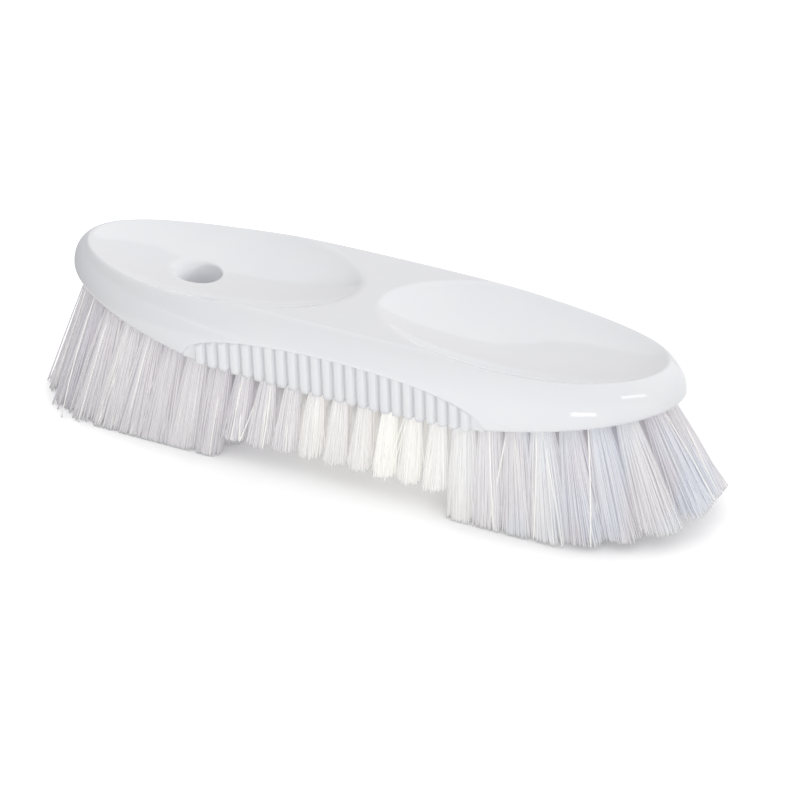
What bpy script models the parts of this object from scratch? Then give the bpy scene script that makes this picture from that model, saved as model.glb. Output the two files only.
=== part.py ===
# Hand scrubbing brush: a moulded block with two palm dishes, a ribbed finger grip on each
# side and a hanging hole, set underneath with rows of staple-set tufts.
# Metres, +Z up. The block runs along X with the hanging hole at -X, and the tips of the
# long tufts stand on z = 0 under the middle of the block.

import math

import bmesh
import bpy
import numpy as np
from mathutils import Matrix, Vector

MM = 0.001

# Block, seen in plan and from the side
BLOCK_LENGTH = 200 * MM
BLOCK_WIDTH = 60.4 * MM
BLOCK_THICKNESS = 23.1 * MM  # at mid length
OUTLINE_POWER = 2.66  # 2 is an ellipse, more is fuller towards the ends
STAND_HEIGHT = 28 * MM  # floor to the underside at mid length
ROCKER_RISE = 11.6 * MM  # the underside climbs this much towards each end
EDGE_TUCK = 2.9 * MM  # the lower edge lies this far inside the widest line
WIDEST_ABOVE_EDGE = 2.4 * MM
SHOULDER_REACH = 7.4 * MM  # how far the upper rounding runs in from the widest line

# Palm dishes, two equal scoops
DISH_END_LAND = 4.7 * MM  # from the dish's rim to the block's end
DISH_MIDDLE_LAND = 8.6 * MM  # between the two rims
DISH_WIDTH = 49.6 * MM
DISH_DEPTH = 7 * MM
DISH_ROUNDNESS = 13 * MM  # upright radius of the scoop

# Hanging hole, bored down through the heel dish
HOLE_FROM_END = 42.5 * MM
HOLE_DIAMETER = 12.5 * MM
HOLE_FLARE = 3 * MM
HOLE_WALL = 1.75 * MM

# Finger grips: an arched recess on each side with upright half-round ribs
GRIP_LENGTH = 99 * MM
GRIP_HEIGHT = 14.8 * MM
GRIP_DEPTH = 6.4 * MM  # from the widest line to the recess floor at mid length
GRIP_BOW = 1.6 * MM  # the floor comes out this much towards the ends of the ribs
GRIP_DRAFT = math.radians(3.4)
RIB_COUNT = 24
RIB_PITCH = 3.78 * MM
RIB_RADIUS = 1.13 * MM
RIB_TOP_LAND = 0.35 * MM  # from the arch down to a rib's domed top

# Tuft field: a shallow pocket that holds the backing the tufts are set in
GRIP_WALL = 1 * MM  # between the grip floor and the pocket
RIM_WALL = 1.4 * MM  # between the block's lower edge and the pocket at the ends
FIELD_POWER = 4
BACKING_THICKNESS = 2 * MM
CLEARANCE = 0.3 * MM

# Tufts
ROWS_PER_SIDE = 3  # ring rows each side of the centre row
TUFT_PITCH = 8 * MM
LONG_TUFT_REACH = 66 * MM  # tufts rooted this near the block's end are long, the rest short
WAIST_TRIM = 7 * MM  # height of the short tips above the floor
END_SPLAY = 0.42  # sideways run of the outermost end tufts for each unit of drop
SIDE_SPLAY = 0.28  # the same for the outermost side tufts
STRANDS_PER_TUFT = 3
STRAND_SIDES = 3
STRAND_RADIUS = 0.72 * MM
TUFT_ROOT_RADIUS = 1.15 * MM
TUFT_TIP_RADIUS = 2.9 * MM

# Facets
OUTLINE_STEPS = 80
EDGE_STEPS = 2
SHOULDER_STEPS = 8
DISH_STEPS = 40
HOLE_STEPS = 32
FLARE_STEPS = 4
RIB_STEPS = 12
GRIP_STEPS = 28
BACKING_TURN = math.radians(8)  # oval turn of one facet of the backing
BACKING_STEPS = 4  # facets of the backing at least
ROW_SAMPLES = 800  # points along a row from which its tufts are spaced
SHARP_ANGLE = math.radians(30)  # edges that turn more than this stay crisp

# Construction
OVERCUT = 10 * MM  # how far a cutter runs past the block
MERGE_LIMIT = 0.01 * MM

WHITE_POLYPROPYLENE = (0.80, 0.82, 0.84)
WHITE_FILAMENT = (0.82, 0.82, 0.83)

# Sizes that follow from those above
HALF_LENGTH = BLOCK_LENGTH / 2
HALF_WIDTH = BLOCK_WIDTH / 2
TOP = STAND_HEIGHT + BLOCK_THICKNESS
DISH_LENGTH = HALF_LENGTH - DISH_END_LAND - DISH_MIDDLE_LAND / 2
DISH_CENTRE = (DISH_LENGTH + DISH_MIDDLE_LAND) / 2  # from mid length
HOLE_CENTRE = HALF_LENGTH - HOLE_FROM_END  # from mid length
WAIST_HALF_LENGTH = HALF_LENGTH - LONG_TUFT_REACH
POCKET_HALF_LENGTH = HALF_LENGTH - EDGE_TUCK - RIM_WALL
POCKET_HALF_WIDTH = HALF_WIDTH - GRIP_DEPTH - GRIP_WALL
FIELD_HALF_LENGTH = POCKET_HALF_LENGTH - CLEARANCE
FIELD_HALF_WIDTH = POCKET_HALF_WIDTH - CLEARANCE
ROW_SPACING = FIELD_HALF_WIDTH / (ROWS_PER_SIDE + 0.5)
BOSS_RADIUS = HOLE_DIAMETER / 2 + HOLE_WALL
BOSS_CLEAR_RADIUS = BOSS_RADIUS + CLEARANCE
TUFT_ROOM = TUFT_ROOT_RADIUS + STRAND_RADIUS  # a tuft's footprint at its root
DISH_MIDDLE = TOP + DISH_ROUNDNESS - DISH_DEPTH  # height of the scoop's own centre
DISH_RIM_SHARE = math.sqrt(1 - (1 - DISH_DEPTH / DISH_ROUNDNESS) ** 2)  # of the scoop's radii
NEAR, FAR = -1, 1  # -Y and +Y
HEEL, TOE = -1, 1  # -X and +X


def underside(x):
    """Height of the block's convex underside."""
    return STAND_HEIGHT + ROCKER_RISE * (x / HALF_LENGTH) ** 2


def widest_line(x):
    """Height of the block's widest line."""
    return underside(x) + WIDEST_ABOVE_EDGE


def oval(half_length, half_width, power, turn):
    """Point of a plan outline; turn 0 is the +X end, a quarter turn is the +Y side."""
    c = math.cos(turn)
    x = math.copysign(half_length * abs(c) ** (2 / power), c)
    return x, half_width * math.sin(turn)


def block_ring(inset, height):
    """Outline of the block drawn in by inset, at height(x) above the floor."""
    ring = []
    for i in range(OUTLINE_STEPS):
        turn = 2 * math.pi * i / OUTLINE_STEPS
        x, y = oval(HALF_LENGTH - inset, HALF_WIDTH - inset, OUTLINE_POWER, turn)
        ring.append((x, y, height(x)))
    return ring


def close_across(bm, ring):
    """Close a ring that is symmetric about Y = 0 with faces that run straight across it."""
    for i in range(len(ring) // 2):
        corners = (ring[i], ring[i + 1], ring[-i - 1], ring[-i])
        bm.faces.new(list(dict.fromkeys(corners)))


def loft(rings):
    """Closed skin through rings that hold the same number of points."""
    bm = bmesh.new()
    loops = [[bm.verts.new(point) for point in ring] for ring in rings]
    for low, high in zip(loops, loops[1:]):
        for i in range(len(low)):
            bm.faces.new((low[i - 1], low[i], high[i], high[i - 1]))
    close_across(bm, loops[0])
    close_across(bm, loops[-1])
    return bm


def mapped_slab(place, steps, shift):
    """A strip of faces laid by place(u, v), both 0 to 1, and given a wall along shift."""
    bm = bmesh.new()
    bmesh.ops.create_grid(bm, x_segments=steps, y_segments=1, size=0.5)
    for vert in bm.verts:
        vert.co = place(vert.co.x + 0.5, vert.co.y + 0.5)
    grown = bmesh.ops.extrude_face_region(bm, geom=bm.faces[:], use_keep_orig=True)
    moved = [item for item in grown["geom"] if isinstance(item, bmesh.types.BMVert)]
    bmesh.ops.translate(bm, verts=moved, vec=shift)
    return bm


def add_object(name, bm, collection, material=None):
    """Turn bm into an object with its faces pointing out."""
    bmesh.ops.recalc_face_normals(bm, faces=bm.faces[:])
    mesh = bpy.data.meshes.new(name)
    bm.to_mesh(mesh)
    bm.free()
    obj = bpy.data.objects.new(name, mesh)
    collection.objects.link(obj)
    if material:
        mesh.materials.append(material)
    else:
        obj.hide_render = True
        obj.display_type = "WIRE"
    return obj


def boolean(obj, other, operation):
    """Cut obj by other, or join other to it."""
    modifier = obj.modifiers.new(f"{operation.lower()}_{other.name}", "BOOLEAN")
    modifier.operation = operation
    modifier.solver = "EXACT"
    modifier.object = other


def principled(name, colour, roughness):
    """Plain plastic."""
    material = bpy.data.materials.new(name)
    material.use_nodes = True
    shader = material.node_tree.nodes["Principled BSDF"]
    shader.inputs["Base Color"].default_value = (*colour, 1)
    shader.inputs["Roughness"].default_value = roughness
    shader.inputs["Metallic"].default_value = 0
    return material


def block_body():
    """The block before it is cut: a tucked lower edge, a full flank and a round shoulder."""
    rings = []
    for k in range(EDGE_STEPS):
        share = k / EDGE_STEPS
        inset = EDGE_TUCK * (1 - share) ** 2
        rings.append(block_ring(inset, lambda x, s=share: underside(x) + s * WIDEST_ABOVE_EDGE))
    for k in range(SHOULDER_STEPS + 1):
        angle = math.pi / 2 * k / SHOULDER_STEPS
        inset = SHOULDER_REACH * (1 - math.cos(angle))
        climb = math.sin(angle)
        rings.append(block_ring(inset, lambda x, c=climb: widest_line(x) * (1 - c) + TOP * c))
    return loft(rings)


def dish_cutter(end):
    """Lower cap of an ellipsoid whose section at the top face is the dish's rim."""
    radii = (DISH_LENGTH / 2 / DISH_RIM_SHARE, DISH_WIDTH / 2 / DISH_RIM_SHARE, DISH_ROUNDNESS)
    bm = bmesh.new()
    bmesh.ops.create_uvsphere(bm, u_segments=DISH_STEPS, v_segments=DISH_STEPS // 2, radius=1)
    bmesh.ops.scale(bm, verts=bm.verts[:], vec=radii)
    bmesh.ops.translate(bm, verts=bm.verts[:], vec=(end * DISH_CENTRE, 0, DISH_MIDDLE))
    return bm


def dish_height(x):
    """Height of the heel dish's surface on its long axis."""
    run = (abs(x) - DISH_CENTRE) / (DISH_LENGTH / 2 / DISH_RIM_SHARE)
    return DISH_MIDDLE - DISH_ROUNDNESS * math.sqrt(1 - run ** 2)


def turned(name, profile, x, collection):
    """Solid of revolution about an upright axis at x, from its outer profile, top to bottom."""
    bm = bmesh.new()
    points = [(0, profile[0][1])] + profile + [(0, profile[-1][1])]
    chain = [bm.verts.new((radius, 0, z)) for radius, z in points]
    for a, b in zip(chain, chain[1:]):
        bm.edges.new((a, b))
    obj = add_object(name, bm, collection)
    obj.location.x = x
    screw = obj.modifiers.new("turn", "SCREW")
    screw.steps = HOLE_STEPS
    screw.render_steps = HOLE_STEPS
    screw.use_merge_vertices = True
    screw.merge_threshold = MERGE_LIMIT
    return obj


def hole_profile():
    """Straight bore whose mouth flares out with a quarter round at the dish's surface."""
    radius = HOLE_DIAMETER / 2
    mouth = dish_height(HOLE_CENTRE)
    profile = [(radius + HOLE_FLARE, TOP + OVERCUT)]
    for k in range(FLARE_STEPS + 1):
        angle = math.pi / 2 * k / FLARE_STEPS
        widening = HOLE_FLARE * (1 - math.sin(angle))
        profile.append((radius + widening, mouth + HOLE_FLARE * math.cos(angle)))
    profile.append((radius, STAND_HEIGHT - OVERCUT))
    return profile


def grip_floor(x, z, side):
    """Y of the recess floor: bowed along the block and leaning out with its height."""
    reach = RIB_PITCH * (RIB_COUNT - 1) / 2
    depth = HALF_WIDTH - GRIP_DEPTH + GRIP_BOW * (x / reach) ** 2
    return side * (depth + math.tan(GRIP_DRAFT) * (z - STAND_HEIGHT))


def grip_crown(x):
    """Height of the arch over the recess, half an ellipse above the underside."""
    run = min(1, abs(x) / (GRIP_LENGTH / 2))
    return underside(x) + GRIP_HEIGHT * math.sqrt(1 - run ** 2)


def grip_cutter(side):
    """Recess up to an arch over the lower edge, open below and outside."""
    def place(u, v):
        x = -GRIP_LENGTH / 2 * math.cos(math.pi * u)
        foot = STAND_HEIGHT - OVERCUT
        z = foot + v * (grip_crown(x) - foot)
        return x, grip_floor(x, z, side), z

    return mapped_slab(place, GRIP_STEPS, (0, side * (GRIP_DEPTH + OVERCUT), 0))


def rib_bars(side):
    """Round bars with domed tops whose axes lie in the recess floor: half of each stands proud."""
    bm = bmesh.new()
    for i in range(RIB_COUNT):
        x = RIB_PITCH * (i - (RIB_COUNT - 1) / 2)
        shoulder = grip_crown(x) - RIB_TOP_LAND - RIB_RADIUS  # the dome starts here
        lean = Matrix.Rotation(-side * GRIP_DRAFT, 4, "X")
        place = Matrix.Translation((x, grip_floor(x, shoulder, side), shoulder))
        bar = bmesh.ops.create_uvsphere(bm, u_segments=RIB_STEPS, v_segments=4, radius=RIB_RADIUS)
        for vert in bar["verts"]:
            if vert.co.z < -MERGE_LIMIT:  # the ball's lower ring and pole become the bar's foot
                vert.co.xy /= math.cos(math.pi / 4)
                vert.co.z = -(GRIP_HEIGHT + ROCKER_RISE + OVERCUT)
        bmesh.ops.transform(bm, matrix=place @ lean, verts=bar["verts"])
    return bm


def pocket_cutter():
    """Tuft field pocket, whose ceiling follows the underside."""
    depth = BACKING_THICKNESS + CLEARANCE
    rings = [[], []]
    for i in range(OUTLINE_STEPS):
        turn = 2 * math.pi * i / OUTLINE_STEPS
        x, y = oval(POCKET_HALF_LENGTH, POCKET_HALF_WIDTH, FIELD_POWER, turn)
        rings[0].append((x, y, STAND_HEIGHT - OVERCUT))
        rings[1].append((x, y, underside(x) + depth))
    return loft(rings)


def make_block(parts, cutters):
    """Block with its dishes, grips, tuft pocket and hanging hole."""
    material = principled("white_polypropylene", WHITE_POLYPROPYLENE, 0.22)
    block = add_object("handle_block", block_body(), parts, material)
    pocket = add_object("pocket_cutter", pocket_cutter(), cutters)
    boss = turned("boss", [(BOSS_RADIUS, TOP), (BOSS_RADIUS, 0)], HEEL * HOLE_CENTRE, cutters)
    boolean(pocket, boss, "DIFFERENCE")
    boolean(block, pocket, "DIFFERENCE")
    for side, side_name in ((NEAR, "near"), (FAR, "far")):
        recess = add_object(f"grip_cutter_{side_name}", grip_cutter(side), cutters)
        ribs = add_object(f"rib_bars_{side_name}", rib_bars(side), cutters)
        boolean(recess, ribs, "DIFFERENCE")
        boolean(block, recess, "DIFFERENCE")
    for end, end_name in ((HEEL, "heel"), (TOE, "toe")):
        dish = add_object(f"dish_cutter_{end_name}", dish_cutter(end), cutters)
        boolean(block, dish, "DIFFERENCE")
    hole = turned("hole_cutter", hole_profile(), HEEL * HOLE_CENTRE, cutters)
    boolean(block, hole, "DIFFERENCE")
    block.data.shade_smooth()
    block.data.set_sharp_from_angle(angle=SHARP_ANGLE)


class Line:
    """One oval line of the tuft field, a given depth inside its outline."""

    def __init__(self, depth):
        self.half_length = FIELD_HALF_LENGTH - depth
        self.half_width = FIELD_HALF_WIDTH - depth

    def point(self, turn):
        return oval(self.half_length, self.half_width, FIELD_POWER, turn)

    def turn_at_x(self, x):
        return math.acos(min(1, x / self.half_length) ** (FIELD_POWER / 2))

    def turn_at_y(self, y):
        return math.asin(min(1, y / self.half_width))


class Stretch:
    """Part of a field line between two turns; mirrored lies across Y = 0."""

    def __init__(self, line, start, end, mirrored=False):
        self.line, self.start, self.end, self.mirrored = line, start, end, mirrored

    def point_at(self, u):
        x, y = self.line.point(self.start + u * (self.end - self.start))
        return x, -y if self.mirrored else y


def ring_tufts(row):
    """Turns of the tufts in one quarter of a ring row, from mid length to the tip.

    They are evenly spaced along the row, staggered from one row to the next, and the last
    one stands half a pitch from the tip.
    """
    line = Line((row + 0.5) * ROW_SPACING)
    turns = np.linspace(math.pi / 2, 0, ROW_SAMPLES)
    points = np.array([line.point(turn) for turn in turns])
    run = np.concatenate(([0], np.cumsum(np.hypot(*np.diff(points, axis=0).T))))
    phase = 0.5 * (row % 2)
    count = round(run[-1] / TUFT_PITCH - phase - 0.5)
    pitch = run[-1] / (count + phase + 0.5)
    tufts = [float(np.interp((i + phase) * pitch, run, turns)) for i in range(count + 1)]
    return line, tufts


def centre_tufts(line):
    """Places along X of the centre row's tufts, as far as line leaves room beside them."""
    reach = line.point(line.turn_at_y(TUFT_ROOM + CLEARANCE))[0]
    phase = 0.5 * (ROWS_PER_SIDE % 2)
    count = round(reach / TUFT_PITCH - phase)
    pitch = reach / (count + phase)
    return [(i + phase) * pitch for i in range(count + 1)]


def clear_of_hole(x, y):
    """False for a tuft that would stand in the hanging hole's boss."""
    return math.hypot(x - HEEL * HOLE_CENTRE, y) > BOSS_CLEAR_RADIUS + TUFT_ROOM


def with_mirror(places):
    """The places and their copies across X = 0, but no second tuft at mid length."""
    return places + [(-x, y) for x, y in places if x > CLEARANCE]


def seam_between(xs):
    """Place of the seam between the last short tuft and the first long one."""
    short = [x for x in xs if x < WAIST_HALF_LENGTH]
    return (short[-1] + xs[len(short)]) / 2


def strand_bars(tufts, tip_height):
    """Strands of the given tufts, splayed outwards and cut off flat at tip_height."""
    bm = bmesh.new()
    for x, y in tufts:
        root_height = underside(x) + BACKING_THICKNESS / 2
        drop = root_height - tip_height
        lean = Vector((END_SPLAY * x / FIELD_HALF_LENGTH, SIDE_SPLAY * y / FIELD_HALF_WIDTH))
        outwards = math.atan2(lean.y, lean.x)
        for k in range(STRANDS_PER_TUFT):
            angle = outwards + 2 * math.pi * k / STRANDS_PER_TUFT
            ray = Vector((math.cos(angle), math.sin(angle)))
            root = Vector((x, y)) + TUFT_ROOT_RADIUS * ray
            tip = Vector((x, y)) + lean * drop + TUFT_TIP_RADIUS * ray
            shear = Matrix.Identity(4)
            shear[0][2], shear[1][2] = (root - tip) / drop
            middle = (root + tip) / 2
            place = Matrix.Translation((middle.x, middle.y, tip_height + drop / 2))
            turn = Matrix.Rotation(angle, 4, "Z")
            bmesh.ops.create_cone(
                bm, cap_ends=True, segments=STRAND_SIDES, radius1=STRAND_RADIUS, radius2=STRAND_RADIUS,
                depth=drop, matrix=place @ shear @ turn,
            )
    return bm


def backing(first, second, flip_x, flip_y):
    """Slice of backing between two stretches of the field's lines."""
    def place(u, v):
        (ax, ay), (bx, by) = first.point_at(u), second.point_at(u)
        x = flip_x * (ax + v * (bx - ax))
        y = flip_y * (ay + v * (by - ay))
        return x, y, underside(x)

    steps = max(BACKING_STEPS, math.ceil(abs(first.end - first.start) / BACKING_TURN))
    return mapped_slab(place, steps, (0, 0, BACKING_THICKNESS))


def add_tufts(name, slab, tufts, tip_height, parts, cutters, material):
    """One node: a slice of backing with its strands joined to it."""
    obj = add_object(name, slab, parts, material)
    strands = add_object(f"{name}_strands", strand_bars(tufts, tip_height), cutters)
    boolean(obj, strands, "UNION")
    return obj


def make_ring_row(row, parts, cutters, material, boss):
    """The waist, toe and heel nodes of one ring row, near and far."""
    line, turns = ring_tufts(row)
    places = [line.point(turn) for turn in turns]
    seam = seam_between([x for x, _ in places])
    outer = Line(row * ROW_SPACING + (CLEARANCE / 2 if row else 0))
    inner = Line((row + 1) * ROW_SPACING - CLEARANCE / 2)
    short = with_mirror([(x, y) for x, y in places if x < seam])
    long = [(x, y) for x, y in places if x > seam]
    waist_end = seam - CLEARANCE / 2
    end_start = seam + CLEARANCE / 2
    hole_start = HOLE_CENTRE - BOSS_CLEAR_RADIUS
    hole_end = HOLE_CENTRE + BOSS_CLEAR_RADIUS

    def between(edge, x_from, x_to=None):
        last = edge.turn_at_x(x_to) if x_to else edge.turn_at_y(CLEARANCE / 2)
        return Stretch(edge, edge.turn_at_x(x_from), last)

    for side, side_name in ((NEAR, "near"), (FAR, "far")):
        waist = [
            Stretch(edge, edge.turn_at_x(waist_end), math.pi - edge.turn_at_x(waist_end))
            for edge in (outer, inner)
        ]
        flipped = [(x, side * y) for x, y in short]
        slab = backing(*waist, 1, side)
        name = f"waist_row_{row + 1}_{side_name}"
        add_tufts(name, slab, flipped, WAIST_TRIM, parts, cutters, material)
        for end, end_name in ((TOE, "toe"), (HEEL, "heel")):
            name = f"{end_name}_row_{row + 1}_{side_name}"
            broken = end == HEEL and row == ROWS_PER_SIDE - 1
            stop = hole_start if broken else None
            slab = backing(between(outer, end_start, stop), between(inner, end_start, stop), end, side)
            limit = hole_start - TUFT_ROOM if broken else HALF_LENGTH
            tufts = [(end * x, side * y) for x, y in long if x < limit]
            tufts = [place for place in tufts if clear_of_hole(*place)]
            obj = add_tufts(name, slab, tufts, 0, parts, cutters, material)
            if end == HEEL and not broken:
                boolean(obj, boss, "DIFFERENCE")

    if row == ROWS_PER_SIDE - 1:
        tip = [
            Stretch(edge, -edge.turn_at_x(hole_end), edge.turn_at_x(hole_end))
            for edge in (outer, inner)
        ]
        beyond = [(x, y) for x, y in long if x > hole_end + TUFT_ROOM]
        tufts = [(HEEL * x, side * y) for x, y in beyond for side in (NEAR, FAR)]
        slab = backing(*tip, HEEL, 1)
        add_tufts(f"heel_row_{row + 1}_tip", slab, tufts, 0, parts, cutters, material)


def make_centre_row(parts, cutters, material):
    """The straight row on the centre line, cut short at the heel by the hanging hole."""
    edge = Line(ROWS_PER_SIDE * ROW_SPACING + CLEARANCE / 2)
    xs = centre_tufts(edge)
    seam = seam_between(xs)
    tip_turn = edge.turn_at_y(TUFT_ROOM)

    def slab(turn_from, turn_to, end):
        return backing(Stretch(edge, turn_from, turn_to), Stretch(edge, turn_from, turn_to, True), end, 1)

    short = with_mirror([(x, 0) for x in xs if x < seam])
    waist_turn = edge.turn_at_x(seam - CLEARANCE / 2)
    waist = slab(waist_turn, math.pi - waist_turn, 1)
    add_tufts("waist_centre", waist, short, WAIST_TRIM, parts, cutters, material)
    end_turn = edge.turn_at_x(seam + CLEARANCE / 2)
    long = [(x, 0) for x in xs if x > seam]
    add_tufts("toe_centre", slab(end_turn, tip_turn, TOE), long, 0, parts, cutters, material)
    hole_turn = edge.turn_at_x(HOLE_CENTRE - BOSS_CLEAR_RADIUS)
    long = [(-x, 0) for x, _ in long if x < HOLE_CENTRE - BOSS_CLEAR_RADIUS - TUFT_ROOM]
    add_tufts("heel_centre", slab(end_turn, hole_turn, HEEL), long, 0, parts, cutters, material)


def main():
    for obj in list(bpy.data.objects):
        bpy.data.objects.remove(obj, do_unlink=True)
    parts = bpy.data.collections.new("jug_brush")
    cutters = bpy.data.collections.new("cutters")
    bpy.context.scene.collection.children.link(parts)
    bpy.context.scene.collection.children.link(cutters)
    make_block(parts, cutters)
    filament = principled("white_filament", WHITE_FILAMENT, 0.35)
    clear = [(BOSS_CLEAR_RADIUS, TOP), (BOSS_CLEAR_RADIUS, 0)]
    boss = turned("boss_clearance", clear, HEEL * HOLE_CENTRE, cutters)
    for row in range(ROWS_PER_SIDE):
        make_ring_row(row, parts, cutters, filament, boss)
    make_centre_row(parts, cutters, filament)


main()
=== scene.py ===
import math

import bpy
import numpy as np
from mathutils import Matrix, Vector


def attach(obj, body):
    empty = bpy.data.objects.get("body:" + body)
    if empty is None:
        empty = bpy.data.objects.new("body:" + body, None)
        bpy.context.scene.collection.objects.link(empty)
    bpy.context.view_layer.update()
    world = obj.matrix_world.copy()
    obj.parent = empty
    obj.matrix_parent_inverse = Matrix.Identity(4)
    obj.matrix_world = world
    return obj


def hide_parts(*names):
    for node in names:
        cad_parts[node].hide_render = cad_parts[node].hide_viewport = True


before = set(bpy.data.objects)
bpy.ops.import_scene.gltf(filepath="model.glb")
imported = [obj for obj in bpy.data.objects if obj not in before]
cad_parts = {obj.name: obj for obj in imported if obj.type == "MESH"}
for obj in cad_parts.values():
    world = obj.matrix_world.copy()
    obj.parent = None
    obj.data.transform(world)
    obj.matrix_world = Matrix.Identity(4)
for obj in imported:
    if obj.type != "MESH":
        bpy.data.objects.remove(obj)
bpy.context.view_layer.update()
mm = 0.001
print("frame loaded,", len(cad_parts), "CAD nodes")

# shape of the moulded block, in millimetres: the CAD part's sizes, but for the hole's flare, which is uneven
# here, and the ribs, which are wider and flatter
block = {
    "halfLength": 100.0, "halfWidth": 30.2, "top": 51.1,
    "roundness": 2.66,  # 2 is an ellipse, more is fuller towards the ends
    "stand": 28.0, "rockerRise": 11.6,  # height of the underside at mid length, and its rise to the ends
    "edgeTuck": 2.9, "edgeHeight": 2.4, "shoulder": 7.4,
    "dishCentre": 49.8, "dishLength": 91.0, "dishWidth": 49.6, "dishDepth": 7.0, "dishRound": 13.0,
    "dishLip": 0.75,  # softness of the dish's rim
    "holeX": -57.5, "holeRadius": 6.25, "holeApron": 12.2, "holeChamfer": 0.5,
    "holeFlare": 5.0, "holeSharp": 0.6, "flarePower": 4,  # wide towards the heel, sharp at the other side
    "gripHalf": 49.5, "gripHeight": 14.8, "gripDepth": 6.4, "gripBow": 1.6, "gripLean": 3.4,
    "gripLip": 1.2, "gripRoot": 0.8,  # radii of the arch's outer edge and inner corner
    "rootShare": 0.45,  # the corner's largest share of the arch's height
    "ribs": 24, "ribPitch": 3.78, "ribRadius": 1.42, "ribProud": 1.9,
    "ribFull": 4.0,  # 2 is a round rib, more is flatter with steeper sides
    "ribEnd": 1.3,  # rounding of a rib's upper end
    "endColumns": 70, "bendColumns": 14, "holeColumns": 110, "ribSteps": 7, "gapSteps": 3,
    "edgeShare": 0.18,  # of the skin's rows below the widest line
    "skinRows": 32, "topRows": 46, "lipRows": 6, "soffitRows": 5,
    "floorRows": 12, "floorEase": 1.5,  # rows are closer towards the top of the grip's floor
    "baseRows": 8, "flareRows": 10, "boreRows": 6,
}


def hexColour(text):  # an sRGB hex value as linear light, opaque
    parts = [int(text[i:i + 2], 16) / 255 for i in (1, 3, 5)]
    return (*(c / 12.92 if c <= 0.04045 else ((c + 0.055) / 1.055) ** 2.4 for c in parts), 1)


def addObject(name, data):
    obj = bpy.data.objects.new(name, data)
    bpy.context.scene.collection.objects.link(obj)
    return obj


def meshFrom(name, points, faces):
    # points in millimetres; faces as rows of three or four corner numbers, -1 for no fourth corner
    mesh = bpy.data.meshes.new(name)
    sizes = np.where(faces[:, 3] >= 0, 4, 3)
    corners = faces.ravel()
    corners = corners[corners >= 0]
    starts = np.concatenate(([0], np.cumsum(sizes)[:-1]))
    mesh.vertices.add(len(points))
    mesh.vertices.foreach_set("co", (points * mm).astype(np.float32).ravel())
    mesh.loops.add(len(corners))
    mesh.loops.foreach_set("vertex_index", corners.astype(np.int32))
    mesh.polygons.add(len(faces))
    mesh.polygons.foreach_set("loop_start", starts.astype(np.int32))
    mesh.polygons.foreach_set("loop_total", sizes.astype(np.int32))
    mesh.update(calc_edges=True)
    mesh.validate()
    mesh.shade_smooth()
    return addObject(name, mesh)


def gridFaces(rows, columns, first=0):
    # quads of a grid of points stored row by row
    number = first + np.arange(rows * columns).reshape(rows, columns)
    quads = np.stack((number[:-1, :-1], number[:-1, 1:], number[1:, 1:], number[1:, :-1]), axis=-1)
    return quads.reshape(-1, 4)


def joinPatches(patches, grain=1e-4):
    # grids of points become one mesh, with points closer than a grain made one, and faces that
    # lose a side become triangles or vanish
    points, faces, first = [], [], 0
    for grid in patches:
        rows, columns = grid.shape[:2]
        points.append(grid.reshape(-1, 3))
        faces.append(gridFaces(rows, columns, first))
        first += rows * columns
    points, faces = np.concatenate(points), np.concatenate(faces)
    keys = np.round(points / grain).astype(np.int64)
    _, keep, same = np.unique(keys, axis=0, return_index=True, return_inverse=True)
    faces = same.reshape(-1)[faces]
    doubled = faces == np.roll(faces, -1, axis=1)
    lost = doubled.sum(axis=1)
    threes = faces[lost == 1][~doubled[lost == 1]].reshape(-1, 3)
    threes = np.column_stack((threes, np.full(len(threes), -1)))
    return points[keep], np.concatenate((faces[lost == 0], threes))


def undersideAt(x):  # a shallow parabola along the block
    return block["stand"] + block["rockerRise"] * (x / block["halfLength"]) ** 2


def skinAt(x, rise):
    # inset and height of the outer skin; rise 0 is the lower edge, 1 the widest line, 2 the edge of the top.
    # Below the widest line the skin tucks in on a parabola, and above it turns in on a quarter ellipse
    low = undersideAt(x)
    wide = low + block["edgeHeight"]
    under = np.clip(rise, 0, 1)
    turn = np.clip(rise - 1, 0, 1) * math.pi / 2
    inset = block["edgeTuck"] * (1 - under) ** 2 + block["shoulder"] * (1 - np.cos(turn))
    z = low + under * block["edgeHeight"] + (block["top"] - wide) * np.sin(turn)
    return inset, z


def halfWidthAt(x, inset):
    # outline drawn in by inset: |x / a| to the power of the roundness, plus y / b squared, is 1
    share = np.clip(np.abs(x) / (block["halfLength"] - inset), 0, 1)
    return (block["halfWidth"] - inset) * np.sqrt(1 - share ** block["roundness"])


def riseAt(x, z):  # the skin's rise at a height, the inverse of skinAt
    low = undersideAt(x)
    wide = low + block["edgeHeight"]
    below = np.clip((z - low) / block["edgeHeight"], 0, 1)
    above = np.arcsin(np.clip((z - wide) / (block["top"] - wide), 0, 1)) / (math.pi / 2)
    return below + above


def riseOf(share):  # the skin's rise at a share of its rows
    edge = block["edgeShare"]
    return np.where(share < edge, share / edge, 1 + (share - edge) / (1 - edge))


def shareOf(rise):  # the inverse of riseOf
    edge = block["edgeShare"]
    return np.where(rise < 1, rise * edge, edge + (rise - 1) * (1 - edge))


def softLower(a, b, width):  # the lower of two heights, rounded where they cross
    share = np.clip(0.5 + 0.5 * (b - a) / width, 0, 1)
    return b * (1 - share) + a * share - width * share * (1 - share)


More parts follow.
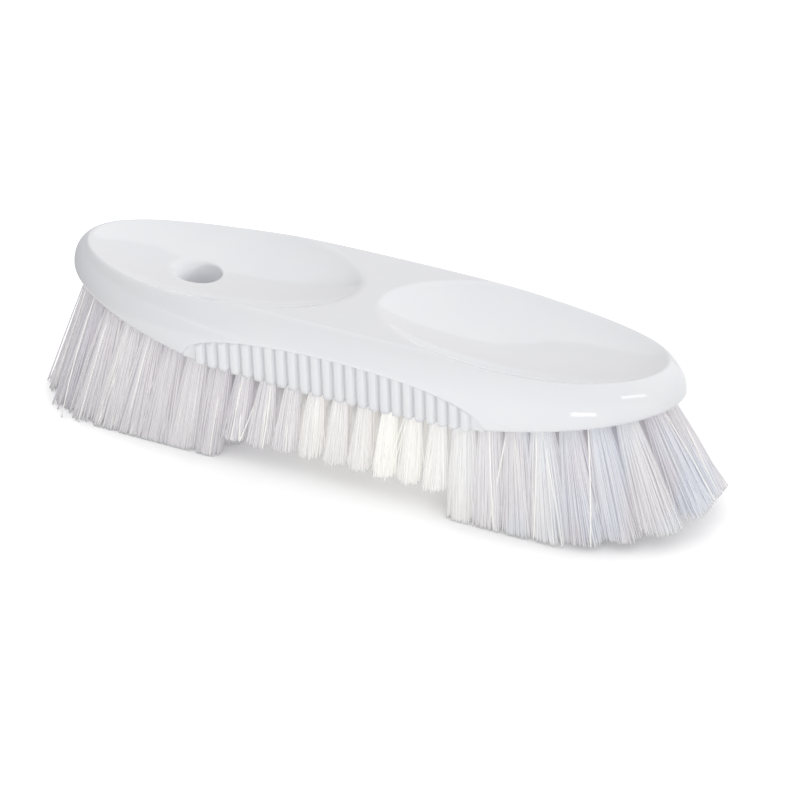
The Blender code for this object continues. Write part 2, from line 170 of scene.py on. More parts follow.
def dishesInto(points):
    # each dish is the lower cap of an ellipsoid, cut into the surface with a soft rim
    x, y, z = points[..., 0], points[..., 1], points[..., 2]
    middle = block["dishRound"] - block["dishDepth"]
    share = math.sqrt(1 - (middle / block["dishRound"]) ** 2)
    for end in (-1, 1):
        reach = ((x - end * block["dishCentre"]) / (block["dishLength"] / 2 / share)) ** 2
        reach = reach + (y / (block["dishWidth"] / 2 / share)) ** 2
        scoop = block["top"] + middle - block["dishRound"] * np.sqrt(np.clip(1 - reach, 0, 1))
        z = softLower(z, scoop, block["dishLip"])
    return np.stack((x, y, z), axis=-1)


def gripFloorAt(x, z):  # y of the grip's floor: a parabola along the block, leaning out with height
    reach = block["ribPitch"] * (block["ribs"] - 1) / 2
    floor = block["halfWidth"] - block["gripDepth"] + block["gripBow"] * (x / reach) ** 2
    return floor + math.tan(math.radians(block["gripLean"])) * (z - block["stand"])


def ribColumns():
    # x of the columns over the ribs: closer towards the sides of each rib, and even across each gap
    turn = np.linspace(-math.pi / 2, math.pi / 2, block["ribSteps"] + 1)
    gap = block["ribPitch"] - 2 * block["ribRadius"]
    between = block["ribRadius"] + gap * np.arange(1, block["gapSteps"]) / block["gapSteps"]
    one = np.concatenate((block["ribRadius"] * np.sin(turn), between))
    centres = block["ribPitch"] * (np.arange(block["ribs"]) - (block["ribs"] - 1) / 2)
    return (centres[:, None] + one).ravel()[:-len(between)]


def archColumns():  # x of the columns over one grip, from its +X end: a bend, the ribs, a bend
    ribX = ribColumns()[::-1]
    bend = np.linspace(0, math.acos(ribX[0] / block["gripHalf"]), block["bendColumns"] + 1)[:-1]
    bendX = block["gripHalf"] * np.cos(bend)
    return np.concatenate((bendX, ribX, -bendX[::-1]))


def archLines(x):
    # the arch is a half ellipse over the underside: its height at x, and x and z of the line outside it
    # where its rounded edge starts, found along its normal in the side view
    b = block
    sine = np.sqrt(np.clip(1 - (x / b["gripHalf"]) ** 2, 0, 1))
    crown = undersideAt(x) + b["gripHeight"] * sine
    alongX = -b["gripHalf"] * sine
    slope = 2 * b["rockerRise"] * x / b["halfLength"] ** 2
    alongZ = b["gripHeight"] * x / b["gripHalf"] + slope * alongX
    size = np.hypot(alongX, alongZ)
    normalX, normalZ = alongZ / size, -alongX / size
    return crown, x + b["gripLip"] * normalX, crown + b["gripLip"] * normalZ


def roundedBend(start, corner, stop, share):
    # quadratic curves that leave start towards corner and arrive at stop from it
    t = share[..., None]
    return (1 - t) ** 2 * start + 2 * t * (1 - t) * corner + t ** 2 * stop


def skinGrid(archX, lipX, lipZ):
    # rows of equal rise, columns that start on the arch's rounded edge or on the lower edge
    b = block
    share = np.linspace(0, 1, b["skinRows"] + 1)[:, None]
    start = shareOf(riseAt(lipX, lipZ))
    fall = 1 - share ** 2
    x = archX + (lipX - archX) * fall
    inset, z = skinAt(x, riseOf(start + (1 - start) * share))
    middle = np.stack((x, halfWidthAt(x, inset), z), axis=-1)
    # beyond the arch the outline's turn runs evenly from the arch's end to the tip
    rise = riseOf(share)
    lastX = b["gripHalf"] + b["gripLip"] * fall
    inset = skinAt(lastX, rise)[0]
    stop = np.arccos((lastX / (b["halfLength"] - inset)) ** (b["roundness"] / 2))
    turn = stop * np.linspace(0, 1, b["endColumns"] + 1)[:-1]
    x = (b["halfLength"] - inset) * np.cos(turn) ** (2 / b["roundness"])
    y = (b["halfWidth"] - inset) * np.sin(turn)
    end = np.stack((x, y, skinAt(x, rise + 0 * x)[1]), axis=-1)
    return np.concatenate((end, middle, end[:, ::-1] * (-1, 1, 1)), axis=1)


def archGrid(archX, crown, lipPoint):
    # rounded edge, soffit, rounded inner corner and ribbed floor, column by column
    b = block
    edgeY = halfWidthAt(archX, skinAt(archX, riseAt(archX, crown))[0])
    edge = np.stack((archX, edgeY, crown), axis=-1)
    soffitStart = np.stack((archX, edgeY - b["gripLip"], crown), axis=-1)
    height = crown - undersideAt(archX)
    root = np.minimum(b["gripRoot"], b["rootShare"] * height)
    cornerY = gripFloorAt(archX, crown)
    soffitStop = np.stack((archX, cornerY + root, crown), axis=-1)
    corner = np.stack((archX, cornerY, crown), axis=-1)
    floorStart = np.stack((archX, gripFloorAt(archX, crown - root), crown - root), axis=-1)
    bend = np.linspace(0, 1, b["lipRows"] + 1)[:, None]
    inward = np.linspace(0, 1, b["soffitRows"] + 1)[:, None, None]
    down = np.linspace(0, 1, b["floorRows"] + 1)[:, None] ** b["floorEase"]
    z = crown - root - (height - root) * down
    arch = np.concatenate((
        roundedBend(lipPoint, edge, soffitStart, bend),
        (soffitStart + (soffitStop - soffitStart) * inward)[1:],
        roundedBend(soffitStop, corner, floorStart, bend)[1:],
        np.stack((archX + 0 * z, gripFloorAt(archX, z), z), axis=-1)[1:],
    ))
    # a rib's section: its two coordinates, each as a share of its size and to the power of ribFull, add up
    # to 1. Its upper end is rounded off on a quarter circle
    away = np.abs((archX / b["ribPitch"] + 0.5 * b["ribs"]) % 1 - 0.5) * b["ribPitch"]
    away = np.where(np.abs(archX) > b["ribPitch"] * b["ribs"] / 2, b["ribPitch"], away)
    across = np.clip(away / b["ribRadius"], 0, 1)
    bulge = b["ribProud"] * (1 - across ** b["ribFull"]) ** (1 / b["ribFull"])
    below = np.clip((crown - arch[..., 2]) / b["ribEnd"], 0, 1)
    onFloor = np.arange(len(arch)) > b["lipRows"] + b["soffitRows"]
    arch[..., 1] += bulge * np.sqrt(1 - (1 - below) ** 2) * onFloor[:, None]
    return arch


def holeTurn():
    return np.linspace(0, math.pi, block["holeColumns"] + 1)


def linesInward(border, radius, before, rows, archX):
    # x and y on straight lines from a border in to the middle line, or to a half circle round the hole;
    # before is the number of columns from the +X tip to the first rib
    b, hole = block, holeTurn()
    straight = len(border) - len(hole)
    ribs = len(archX) - 2 * b["bendColumns"]
    at = (0, before, before + ribs // 2, straight)
    line = (b["halfLength"] - b["halfWidth"], archX[b["bendColumns"]], 0, b["holeX"] + radius)
    x = np.interp(np.arange(straight), at, line)
    ring = radius * np.stack((np.cos(hole), np.sin(hole)))
    ring[1, 0] = ring[1, -1] = 0
    x, y = np.concatenate((x, b["holeX"] + ring[0])), np.concatenate((0 * x, ring[1]))
    share = np.linspace(0, 1, rows + 1)[:, None]
    return border[:, 0] + (x - border[:, 0]) * share, border[:, 1] + (y - border[:, 1]) * share


def topGrid(border, archX):
    before = block["endColumns"] + block["bendColumns"]
    x, y = linesInward(border, block["holeApron"], before, block["topRows"], archX)
    return dishesInto(np.stack((x, y, np.full_like(x, block["top"])), axis=-1))


def holeGrid():
    # apron, quarter round flare, bore and chamfered lower rim. The flare's width grows round the hole with
    # half of one less the cosine, to a power
    b, hole = block, holeTurn()
    growth = ((1 - np.cos(hole)) / 2) ** b["flarePower"]
    width = b["holeSharp"] + (b["holeFlare"] - b["holeSharp"]) * growth
    widest = b["holeRadius"] + width
    apron = b["holeApron"] + 0 * widest
    turn = np.linspace(0, math.pi / 2, b["flareRows"] + 1)[:, None]
    radii = np.concatenate(((apron, (apron + widest) / 2), widest - width * np.sin(turn)))
    sink = np.concatenate((np.zeros((2, len(hole))), width * (1 - np.cos(turn))))
    x, y = b["holeX"] + radii * np.cos(hole), radii * np.sin(hole)
    y[:, 0] = y[:, -1] = 0
    flare = dishesInto(np.stack((x, y, np.full_like(x, b["top"])), axis=-1))
    flare[..., 2] -= sink
    bottom = flare[-1].copy()
    bottom[:, 2] = undersideAt(bottom[:, 0]) + b["holeChamfer"]
    down = np.linspace(0, 1, b["boreRows"] + 1)[1:, None, None]
    bore = flare[-1] + (bottom - flare[-1]) * down
    rimRadius = b["holeRadius"] + b["holeChamfer"]
    rimX = b["holeX"] + rimRadius * np.cos(hole)
    rim = np.stack((rimX, rimRadius * np.sin(hole), undersideAt(rimX)), axis=-1)
    rim[0, 1] = rim[-1, 1] = 0
    return np.concatenate((flare, bore, rim[None]))


def baseGrid(skin, arch, archX):
    # from the whole lower border in to the middle line, with the hole's rim in it
    b, ends = block, block["endColumns"]
    border = np.concatenate((
        skin[0, :ends], arch[:, 0], arch[-1, 1:-1], arch[::-1, -1], skin[0, -ends:],
    ))
    before = ends + b["bendColumns"] + len(arch) - 1
    x, y = linesInward(border, b["holeRadius"] + b["holeChamfer"], before, b["baseRows"], archX)
    base = np.stack((x, y, undersideAt(x)), axis=-1)
    base[0, :, 2] = border[:, 2]
    return base


def blockHalf():
    # one long side of the block as grids of points, from the +X tip over mid length to the -X tip
    archX = archColumns()
    crown, lipX, lipZ = archLines(archX)
    skin = skinGrid(archX, lipX, lipZ)
    lip = skin[0, block["endColumns"]:-block["endColumns"]]
    arch = archGrid(archX, crown, np.stack((lipX, lip[:, 1], lip[:, 2]), axis=-1))
    top = topGrid(skin[-1], archX)
    skin = dishesInto(skin)
    return [skin, top, arch[:, ::-1], holeGrid(), baseGrid(skin, arch, archX)[:, ::-1]]


def makeBlock():
    half = blockHalf()
    mirrored = [grid[:, ::-1] * np.array((1, -1, 1)) for grid in half]
    points, faces = joinPatches(half + mirrored)
    return meshFrom("block", points, faces)


body = makeBlock()
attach(body, "root")
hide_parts("handle_block")
print("block:", len(body.data.polygons), "faces")

# tufts of filament, placed as the CAD part places them, in millimetres
tuft = {
    "fieldLength": 95.4, "fieldWidth": 22.5, "fieldPower": 4, "ovalSteps": 800,
    "rows": 3, "pitch": 8.0,
    "waistHalf": 34.0, "waistTrim": 7.0, "sideSplay": 0.28,
    "heelSplay": 0.21, "toeSplay": 0.43, "toeTurn": 1.8,  # the toe's tufts lean out only near its end
    "heelSet": 6.0, "toeSet": 3.0, "setPower": 4,  # sideways set of the end tufts, taken in use
    "toeLift": 11.0, "liftPower": 7,  # the last tips at the toe have bent up off the floor
    "holeClear": 8.3, "room": 1.87, "gap": 0.3,
    "outer": 250, "inner": 150,  # filaments of a tuft in the outermost row and further in
    "filament": 0.21,  # radius of one filament
    "shortRoot": 1.8, "longRoot": 2.9, "shortTip": 3.4, "longTip": 6.6, "rootDepth": 1.5,
    "fanStart": 34.0, "fanFull": 60.0,  # x between which the tufts' tips spread out
    "fanLeast": 0.65,  # draws the tips in towards the middle of a tuft
    "uneven": 0.12,  # how much the tufts differ in spread
    "ragged": 0.7, "stray": 0.45, "bow": 0.6, "anyTurn": 6.28, "seed": 7,
    "crossing": 0.03, "crossingStray": 4,  # share that lies across its neighbours, and its added stray
    "paintedShadeTo": 0.45,  # share of its length over which an inner row's filament is painted darker, as shade
    # the cream bell, toneCream round creamAt, is painted light: it lightens the tint and the glow of the
    # tufts there
    "toneTuft": 0.25, "toneOwn": 0.2, "toneCream": 0.55,
    "creamAt": 17.0, "creamReach": 40.0,
    "rings": (0, 0.25, 0.5, 0.75, 0.97, 1), "sides": 4,
    "edge": (110.0, 28.9),  # no tip lies further out
}
rowSpacing = tuft["fieldWidth"] / (tuft["rows"] + 0.5)


def fieldOval(depth, turn):
    # an oval line a given depth inside the tuft field: x by the square root of the cosine, y by the sine
    a, b = tuft["fieldLength"] - depth, tuft["fieldWidth"] - depth
    return a * np.cos(turn) ** (2 / tuft["fieldPower"]), b * np.sin(turn)


def ringRow(row):
    # tufts of one quarter of a ring row, evenly spaced from mid length, staggered row by row
    turn = np.linspace(math.pi / 2, 0, tuft["ovalSteps"])
    x, y = fieldOval((row + 0.5) * rowSpacing, turn)
    run = np.concatenate(([0], np.cumsum(np.hypot(np.diff(x), np.diff(y)))))
    phase = 0.5 * (row % 2)
    count = round(run[-1] / tuft["pitch"] - phase - 0.5)
    at = (np.arange(count + 1) + phase) * run[-1] / (count + phase + 0.5)
    return np.stack((np.interp(at, run, x), np.interp(at, run, y)), axis=-1)


def centreRow():
    # tufts of the middle line's toe half, evenly spaced
    depth = tuft["rows"] * rowSpacing + tuft["gap"] / 2
    narrow = (tuft["room"] + tuft["gap"]) / (tuft["fieldWidth"] - depth)
    reach = fieldOval(depth, math.asin(narrow))[0]
    phase = 0.5 * (tuft["rows"] % 2)
    count = round(reach / tuft["pitch"] - phase)
    x = (np.arange(count + 1) + phase) * reach / (count + phase)
    return np.stack((x, 0 * x), axis=-1)


def tuftLayout():
    # node name to its tufts' places and the height of their tips
    holeNear = -block["holeX"] - tuft["holeClear"] - tuft["room"]
    holeFar = -block["holeX"] + tuft["holeClear"] + tuft["room"]
    layout = {}
    lines = [(f"row_{row + 1}", ringRow(row), row) for row in range(tuft["rows"])]
    lines.append(("centre", centreRow(), tuft["rows"]))
    for name, places, row in lines:
        short = places[places[:, 0] < tuft["waistHalf"]]
        long = places[places[:, 0] >= tuft["waistHalf"]]
        back = short[short[:, 0] > tuft["gap"]] * (-1, 1)
        short = np.concatenate((short, back))
        heel = long * (-1, 1)
        clear = np.hypot(heel[:, 0] - block["holeX"], heel[:, 1]) > holeFar + block["holeX"]
        heel = heel[clear & (-heel[:, 0] < holeNear)] if row >= tuft["rows"] - 1 else heel[clear]
        for side, sign in (("near", -1), ("far", 1)) if name != "centre" else (("", 1),):
            tail = f"{name}_{side}".strip("_")
            layout[f"waist_{tail}"] = (short * (1, sign), tuft["waistTrim"])
            layout[f"toe_{tail}"] = (long * (1, sign), 0.0)
            layout[f"heel_{tail}"] = (heel * (1, sign), 0.0)
        if row == tuft["rows"] - 1:
            tip = long[long[:, 0] > holeFar] * (-1, 1)
            layout[f"heel_{name}_tip"] = (np.concatenate((tip, tip * (1, -1))), 0.0)
    return layout


def filamentLines(places, trim, inner, rng):
    # middle lines of the filaments. Their roots lie on a sunflower spiral inside the block, and their tips
    # on the same spiral made wider, with the tuft's lean and some chance added. The line between the two is
    # straight with a bow added, a parabola in the share of its length
    t, tufts = tuft, len(places)
    number = t["inner"] if inner else t["outer"]
    order = np.arange(number) + 0.5
    ray = np.sqrt(order / number)
    spin = order * math.pi * (3 - math.sqrt(5)) + rng.uniform(0, t["anyTurn"], (tufts, 1))
    disc = np.stack((ray * np.cos(spin), ray * np.sin(spin)), axis=-1)
    fan = disc * (t["fanLeast"] + (1 - t["fanLeast"]) * ray)[None, :, None]
    rootZ = undersideAt(places[:, 0])
    drop = (rootZ - trim)[:, None, None]
    out = places[:, 0] / t["fieldLength"]
    leanX = np.where(out > 0, t["toeSplay"] * np.abs(out) ** t["toeTurn"], t["heelSplay"] * out)
    lean = np.stack((leanX, t["sideSplay"] * places[:, 1] / t["fieldWidth"]), axis=-1)
    fanEnds, tipRadii = (t["fanStart"], t["fanFull"]), (t["shortTip"], t["longTip"])
    reach = np.interp(np.abs(places[:, 0]), fanEnds, tipRadii)
    spread = reach[:, None, None] * rng.uniform(1 - t["uneven"], 1 + t["uneven"], (tufts, 1, 1))
    root = places[:, None] + (t["shortRoot"] if trim else t["longRoot"]) * disc
    tip = places[:, None] + lean[:, None] * drop + spread * fan
    tip[..., 1] += (np.where(out > 0, t["toeSet"], -t["heelSet"]) * out ** t["setPower"])[:, None]
    crossing = rng.random(tip.shape[:2]) < t["crossing"]
    tip = tip + rng.normal(0, t["stray"], tip.shape) * (1 + t["crossingStray"] * crossing[..., None])
    tip = np.clip(tip, -np.array(t["edge"]), t["edge"])
    lift = t["toeLift"] * np.clip(out, 0, 1) ** t["liftPower"]
    tipZ = trim + lift[:, None] + t["ragged"] * rng.random(tip.shape[:2]) ** 2
    rootZ = (rootZ[:, None] + t["rootDepth"]) + 0 * tipZ
    bow = rng.normal(0, t["bow"], tip.shape)
    start = np.concatenate((root, rootZ[..., None]), axis=-1).reshape(-1, 3)
    stop = np.concatenate((tip, tipZ[..., None]), axis=-1).reshape(-1, 3)
    sag = np.concatenate((bow, 0 * tipZ[..., None]), axis=-1).reshape(-1, 3)
    u = np.array(t["rings"])[None, :, None]
    lines = start[:, None] * (1 - u) + stop[:, None] * u + sag[:, None] * u * (1 - u) * 2
    return lines, crossing


def tubesAlong(lines, rng):
    # a many-sided tube along each line, with one cap at each end
    rings, sides = len(tuft["rings"]), tuft["sides"]
    around = rng.uniform(0, tuft["anyTurn"], (len(lines), 1)) + np.arange(sides) * 2 * math.pi / sides
    ring = tuft["filament"] * np.stack((np.cos(around), np.sin(around), 0 * around), axis=-1)
    tubes = lines[:, :, None] + ring[:, None]
    index = np.arange(len(lines) * rings * sides).reshape(len(lines), rings, sides)
    following = np.roll(index, -1, axis=2)
    walls = np.stack((index[:, :-1], index[:, 1:], following[:, 1:], following[:, :-1]), axis=-1)
    caps = np.concatenate((index[:, 0], index[:, -1, ::-1]))
    return tubes.reshape(-1, 3), np.concatenate((walls.reshape(-1, 4), caps))


def filamentLooks(places, crossing, inner, rng):
    # what the material reads at each point: tone, in part the tuft's, in part the filament's own and in part
    # cream, painted light on a bell curve round one place along the brush; how far along the filament the
    # point is; and painted shade on the inner rows, strongest at the root and towards the heel
    t, number = tuft, crossing.shape[1]
    rings, sides = len(t["rings"]), t["sides"]
    # painted light: a cream, brighter patch on a bell curve along the brush
    cream = np.exp(-((places[:, :1] - t["creamAt"]) / t["creamReach"]) ** 2)
    tone = t["toneTuft"] * rng.random((len(places), 1)) + t["toneOwn"] * rng.random(crossing.shape)
    tone = np.where(crossing, 1, tone + t["toneCream"] * cream)
    along = np.tile(np.repeat(t["rings"], sides), crossing.size)
    heelwards = np.repeat(1 - np.clip(places[:, 0] / t["fieldLength"], 0, 1), number * rings * sides)
    # painted shade: inner rows darker near the root, more so towards the heel
    paintedShade = inner * heelwards * np.clip(1 - along / t["paintedShadeTo"], 0, 1)
    return {"tone": np.repeat(tone.ravel(), rings * sides), "along": along, "paintedShade": paintedShade}


def makeTufts():
    rng = np.random.default_rng(tuft["seed"])
    made = []
    for node, (places, trim) in tuftLayout().items():
        inner = "row_1" not in node
        lines, crossing = filamentLines(places, trim, inner, rng)
        points, faces = tubesAlong(lines, rng)
        obj = meshFrom(f"bristles_{node}", points, faces)
        for name, values in filamentLooks(places, crossing, inner, rng).items():
            layer = obj.data.attributes.new(name, "FLOAT", "POINT")
            layer.data.foreach_set("value", values.astype(np.float32))
        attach(obj, "root")
        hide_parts(node)
        made.append(obj)
    return made


bristles = makeTufts()
print("bristles:", len(bristles), "pieces,", sum(len(o.data.polygons) for o in bristles), "faces")


def addNode(tree, kind, settings=None):
    # one node; each setting is a fixed value, or an output that feeds the socket of that name or number
    node = tree.nodes.new(kind)
    for key, value in (settings or {}).items():
        if isinstance(value, bpy.types.NodeSocket):
            tree.links.new(value, node.inputs[key])
        elif isinstance(key, int) or key in node.inputs:
            node.inputs[key].default_value = value
        else:
            setattr(node, key, value)
    return node


def addMath(tree, operation, first, second):
    return addNode(tree, "ShaderNodeMath", {"operation": operation, 0: first, 1: second}).outputs[0]


def addMix(tree, share, low, high):  # a blend of two colours
    return addNode(tree, "ShaderNodeMix", {
        "data_type": "RGBA", "Factor": share, "A": low, "B": high,
    }).outputs["Result"]


def addRamp(tree, value, span, levels=(0, 1), kind="LINEAR"):
    # the value's way from one end of the span to the other, as a level
    return addNode(tree, "ShaderNodeMapRange", {
        "interpolation_type": kind, "Value": value, "From Min": span[0], "From Max": span[1],
        "To Min": levels[0], "To Max": levels[1],
    }).outputs["Result"]


def addNoise(tree, place, scale, detail):
    return addNode(tree, "ShaderNodeTexNoise", {
        "Vector": place, "Scale": scale, "Detail": detail,
    }).outputs["Fac"]


def newMaterial(name):
    material = bpy.data.materials.new(name)
    material.use_nodes = True
    material.node_tree.nodes.clear()
    return material, material.node_tree


def finishMaterial(tree, shader):
    addNode(tree, "ShaderNodeOutputMaterial", {"Surface": shader.outputs[0]})


plastic = {
    "tints": ("#ECEDF1", "#F1F2F4"), "cloudScale": 60.0, "roughness": (0.03, 0.06),
    "waveScale": 80.0, "waveHeight": 0.0004, "waveStrength": 0.15,  # about 12 mm long
    "grainScale": 2500.0, "grainHeight": 0.00002, "grainStrength": 0.05,  # about 0.4 mm
    "ior": 1.49, "glowColour": "#FCFDFF", "glow": 0.03,
}


# white polypropylene, injection moulded in a polished tool: an even, faintly blue white with a sharp gloss,
# slight waves in what it reflects and a very fine grain. A faint painted glow of its own stands for what it
# lets through and lifts its shaded parts
def makeMouldedPlastic():
    material, tree = newMaterial("white polypropylene, moulded")
    place = addNode(tree, "ShaderNodeTexCoord").outputs["Object"]
    cloud = addNoise(tree, place, plastic["cloudScale"], 2.0)
    wave = addNode(tree, "ShaderNodeBump", {
        "Strength": plastic["waveStrength"], "Distance": plastic["waveHeight"],
        "Height": addNoise(tree, place, plastic["waveScale"], 1.0),
    })
    grain = addNode(tree, "ShaderNodeBump", {
        "Strength": plastic["grainStrength"], "Distance": plastic["grainHeight"],
        "Height": addNoise(tree, place, plastic["grainScale"], 2.0), "Normal": wave.outputs["Normal"],
    })
    shader = addNode(tree, "ShaderNodeBsdfPrincipled", {
        "Base Color": addMix(tree, cloud, *map(hexColour, plastic["tints"])),
        "Roughness": addRamp(tree, cloud, (0, 1), plastic["roughness"]),
        "IOR": plastic["ior"], "Normal": grain.outputs["Normal"],
        # painted glow: an even light of its own over the whole block
        "Emission Color": hexColour(plastic["glowColour"]), "Emission Strength": plastic["glow"],
    })
    finishMaterial(tree, shader)
    return material


strand = {
    "lilac": "#E1DDE2", "blue": "#DDE0EA", "cream": "#FDFCF8", "tipHighlight": "#FFFFFF", "paintedShade": "#77747B",
    "tipHighlightSpan": (0.97, 1.0),  # share of a filament's length over which it turns white, a painted highlight on its cut end
    "patchScale": (80, 80, 20), "patchSpan": (0.4, 0.6),  # patches about 12 mm wide and 50 mm tall
    "blueSpan": (0.015, 0.05),  # x over which the patches turn blue, painted shade on the toe's tufts, in metres
    "glowLow": "#BCBCC4", "glowHigh": "#FFFEFA", "glow": 0.2,
    "ior": 1.53, "roughness": 0.3,
}


# drawn white filament: nearly pure white, so that light goes on from strand to strand, with a faint painted
# glow of its own for what real strands let through. Each has its own tone, lilac to cream; the cream on a
# bell curve along the brush is painted light, which also makes the glow brighter there, and blue patches
# towards the toe are painted shade. Each tip turns white, a painted highlight. The inner rows are painted
# darker near the block, as shade where little light gets in
def makeFilament():
    material, tree = newMaterial("white filament, drawn")
    tone, along, paintedShade = (
        addNode(tree, "ShaderNodeAttribute", {"attribute_name": name}).outputs["Fac"]
        for name in ("tone", "along", "paintedShade")
    )
    place = addNode(tree, "ShaderNodeTexCoord").outputs["Object"]
    tall = addNode(tree, "ShaderNodeVectorMath", {
        "operation": "MULTIPLY", 0: place, 1: strand["patchScale"],
    }).outputs["Vector"]
    patch = addRamp(tree, addNoise(tree, tall, 1.0, 1.0), strand["patchSpan"])
    split = addNode(tree, "ShaderNodeSeparateXYZ", {"Vector": place})
    toe = addRamp(tree, split.outputs["X"], strand["blueSpan"])
    lilac, blue, cream, tipHighlight, dark, glowLow, glowHigh = (
        hexColour(strand[key]) for key in ("lilac", "blue", "cream", "tipHighlight", "paintedShade", "glowLow", "glowHigh")
    )
    # painted shade: blue patches on the toe's tufts
    cool = addMix(tree, addMath(tree, "MULTIPLY", patch, toe), lilac, blue)
    tint = addMix(tree, tone, cool, cream)
    # painted highlight: each filament turns white towards its cut end
    tint = addMix(tree, addRamp(tree, along, strand["tipHighlightSpan"]), tint, tipHighlight)
    shader = addNode(tree, "ShaderNodeBsdfPrincipled", {
        # painted shade darkens the colour and the glow of the inner rows near the block
        "Base Color": addMix(tree, paintedShade, tint, dark),
        "Roughness": strand["roughness"], "IOR": strand["ior"],
        # painted glow: brighter for cream-toned filaments
        "Emission Color": addMix(tree, paintedShade, addMix(tree, tone, glowLow, glowHigh), dark),
        "Emission Strength": strand["glow"],
    })
    finishMaterial(tree, shader)
    return material


body.data.materials.append(makeMouldedPlastic())
filamentMaterial = makeFilament()
for obj in bristles:
    obj.data.materials.append(filamentMaterial)
print("materials made")

# camera at the photograph's angle, fitted to the block's outline, in millimetres, degrees and pixels
view = {
    "turn": 26.53, "tilt": 30.39, "distance": 1125.82, "focal": 3782.5, "pixels": 800,
    "right": -8.39, "up": 11.24, "lift": 28.0,
    "sensor": 36, "clip": (0.01, 100),  # the clip distances are in metres
}


def makeCamera():
    turn, tilt = math.radians(view["turn"]), math.radians(view["tilt"])
    right = Vector((math.cos(turn), math.sin(turn), 0))
    back = Vector((math.sin(turn) * math.cos(tilt), -math.cos(turn) * math.cos(tilt), math.sin(tilt)))
    up = back.cross(right)
    place = back * view["distance"] - right * view["right"] - up * view["up"] + Vector((0, 0, view["lift"]))
    data = bpy.data.cameras.new("camera")
    data.sensor_width = view["sensor"]
    data.lens = view["focal"] / view["pixels"] * view["sensor"]
    data.clip_start, data.clip_end = view["clip"]
    camera = addObject("camera", data)
    camera.matrix_world = Matrix.Translation(place * mm) @ Matrix((right, up, back)).transposed().to_4x4()
    bpy.context.scene.camera = camera


makeCamera()
print("camera placed")

# studio: a white floor that the camera sees brighter than it lights the brush, a sky that is dark to the
# left, a soft box at the right, and cards that only reflections show. Metres, watts, linear levels
studio = {
    "floorHalf": 30,
    "floorSpan": (-0.16, 0.0), "floorTone": (0.15, 0.55),  # x over which it lights more, and its levels
    "floorSeen": (1.36, 1.13), "floorGlow": 0.12,  # its levels for the camera, over the same x
    "contactReach": 0.01, "contactLevel": 0.5, "contactSamples": 6,  # painted contact shadow close under the brush
    "frontSpan": (-0.04, -0.1), "frontTone": 1.4,  # y over which the floor gets lighter by this factor
    "skyLevel": 0.98,
    "darkSide": (-1, 0.1, 0), "darkSpan": (0.2, 0.85),  # the sky fades out towards this side
    "horizonSpan": (0.7, 0.2),  # and towards the horizon
    "frontSky": (0, -1), "frontGlow": -0.22,  # taken from the sky towards -Y
    "lamps": {  # place, what it is aimed at, width, height, power, and whether it shows in reflections
        "softBox": ((0.99, -0.88, 0.47), (0, 0, 0.04), 0.5, 0.16, 1.0, True),
        "key": ((1.1, -0.75, 1.1), (0, 0, 0.04), 0.5, 0.5, 0.2, False),
        # lies on the floor in front and lights upwards
        "bounce": ((-0.02, -0.12, 0.0003), (-0.02, -0.12, 1), 0.34, 0.12, 0.125, False),
    },
    "cards": {  # corners, colour of the light from the lowest and the highest places
        "wall": (  # makes the dishes' darker ponds
            ((0.183, 0.683, 0), (-0.683, 0.183, 0), (-0.683, 0.183, 0.1), (-0.371, 0.363, 0.18),
             (-0.349, 0.376, 0.294), (-0.325, 0.39, 0.334), (-0.293, 0.408, 0.4), (-0.254, 0.431, 0.56),
             (-0.208, 0.458, 0.52), (-0.153, 0.489, 0.37), (0.183, 0.683, 0.2)),
            (0.7, 0.64, 0.66), (0.36, 0.3, 0.34),
        ),
        "flag": (  # makes the heel's end dark
            ((-0.14, -0.3, 0.003), (-0.14, 0.4, 0.003), (-0.9, 0.4, 0.25), (-0.9, -0.7, 0.003)),
            (0.6, 0.6, 0.65), (0.0, 0.0, 0.05),
        ),
        "gleam": (
            ((0.106, -0.17, 0), (0.134, -0.15, 0), (0.134, -0.15, 0.016), (0.106, -0.17, 0.016)),
            (6.0, 6.0, 6.0), (6.0, 6.0, 6.0),
        ),
    },
}
white = hexColour("#FFFFFF")


def seenRays(tree):  # 1 for what the camera sees, straight, mirrored or through something clear
    ray = addNode(tree, "ShaderNodeLightPath").outputs
    straight = addMath(tree, "MAXIMUM", ray["Is Camera Ray"], ray["Is Glossy Ray"])
    return addMath(tree, "MAXIMUM", straight, ray["Is Transmission Ray"])


def makeFloor():
    half = studio["floorHalf"]
    mesh = bpy.data.meshes.new("floor")
    corners = [(-half, -half, 0), (half, -half, 0), (half, half, 0), (-half, half, 0)]
    mesh.from_pydata(corners, [], [(0, 1, 2, 3)])
    floor = addObject("floor", mesh)
    material, tree = newMaterial("white paper floor")
    place = addNode(tree, "ShaderNodeTexCoord").outputs["Object"]
    split = addNode(tree, "ShaderNodeSeparateXYZ", {"Vector": place}).outputs
    tone, bright = (
        addRamp(tree, split["X"], studio["floorSpan"], studio[key], "SMOOTHSTEP")
        for key in ("floorTone", "floorSeen")
    )
    front = addRamp(tree, split["Y"], studio["frontSpan"], (1, studio["frontTone"]), "SMOOTHSTEP")
    # painted contact shadow: ambient occlusion darkens the floor as seen, close under the brush
    clear = addNode(tree, "ShaderNodeAmbientOcclusion", {
        "samples": studio["contactSamples"], "Distance": studio["contactReach"],
    })
    shade = addRamp(tree, clear.outputs["AO"], (0, 1), (studio["contactLevel"], 1))
    seen = seenRays(tree)
    levels = addMath(tree, "MULTIPLY", tone, front), addMath(tree, "MULTIPLY", bright, shade)
    paper = addNode(tree, "ShaderNodeBsdfDiffuse", {"Color": addRamp(tree, seen, (0, 1), levels)})
    glow = addNode(tree, "ShaderNodeEmission", {
        "Color": white, "Strength": addMath(tree, "MULTIPLY", seen, studio["floorGlow"]),
    })
    finishMaterial(tree, addNode(tree, "ShaderNodeAddShader", {0: paper.outputs[0], 1: glow.outputs[0]}))
    mesh.materials.append(material)


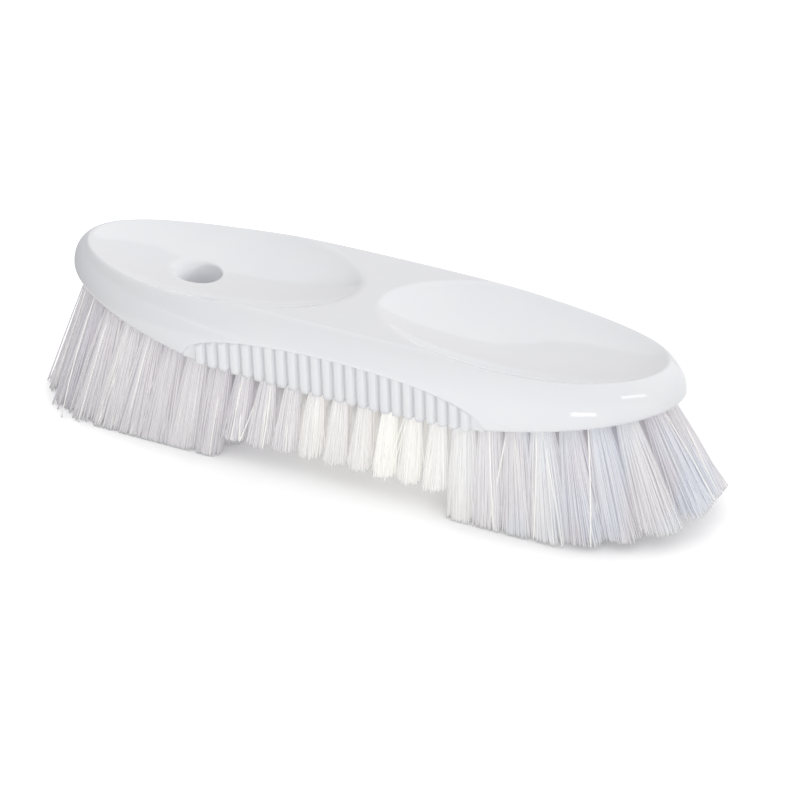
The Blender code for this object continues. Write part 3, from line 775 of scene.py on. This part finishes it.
def makeLamps():
    for name, (place, target, width, height, power, mirrored) in studio["lamps"].items():
        data = bpy.data.lights.new(name, "AREA")
        data.shape = "RECTANGLE"
        data.size, data.size_y, data.energy = width, height, power
        lamp = addObject(name, data)
        lamp.visible_camera = False
        lamp.visible_glossy = mirrored
        lamp.location = place
        lamp.rotation_mode = "QUATERNION"
        lamp.rotation_quaternion = (Vector(place) - Vector(target)).to_track_quat("Z", "Y")


def makeCards():
    for name, (corners, low, high) in studio["cards"].items():
        mesh = bpy.data.meshes.new(name)
        mesh.from_pydata(corners, [], [range(len(corners))])
        card = addObject(name, mesh)
        material, tree = newMaterial(name + " card")
        place = addNode(tree, "ShaderNodeTexCoord").outputs["Object"]
        split = addNode(tree, "ShaderNodeSeparateXYZ", {"Vector": place})
        rise = addRamp(tree, split.outputs["Z"], (0, max(corner[2] for corner in corners)))
        light = addMix(tree, rise, (*low, 1), (*high, 1))
        finishMaterial(tree, addNode(tree, "ShaderNodeEmission", {"Color": light}))
        mesh.materials.append(material)
        card.visible_camera = card.visible_diffuse = card.visible_shadow = card.visible_transmission = False


def makeSky():
    world = bpy.data.worlds.new("studio")
    world.use_nodes = True
    bpy.context.scene.world = world
    tree = world.node_tree
    tree.nodes.clear()
    way = addNode(tree, "ShaderNodeTexCoord").outputs["Generated"]
    split = addNode(tree, "ShaderNodeSeparateXYZ", {"Vector": way}).outputs
    aside = addNode(tree, "ShaderNodeVectorMath", {"operation": "DOT_PRODUCT", 0: way, 1: studio["darkSide"]})
    sideways = addRamp(tree, aside.outputs["Value"], studio["darkSpan"], kind="SMOOTHSTEP")
    low = addRamp(tree, split["Z"], studio["horizonSpan"], (0, studio["skyLevel"]), "SMOOTHSTEP")
    front = addRamp(tree, split["Y"], studio["frontSky"], (0, studio["frontGlow"]), "SMOOTHSTEP")
    lit = addMath(tree, "SUBTRACT", studio["skyLevel"], addMath(tree, "MULTIPLY", sideways, low))
    level = addMath(tree, "ADD", lit, front)
    sky = addNode(tree, "ShaderNodeBackground", {"Color": white, "Strength": level})
    addNode(tree, "ShaderNodeOutputWorld", {"Surface": sky.outputs[0]})


makeFloor()
makeLamps()
makeCards()
makeSky()
bpy.context.scene.view_settings.view_transform = "Standard"
print("studio made")
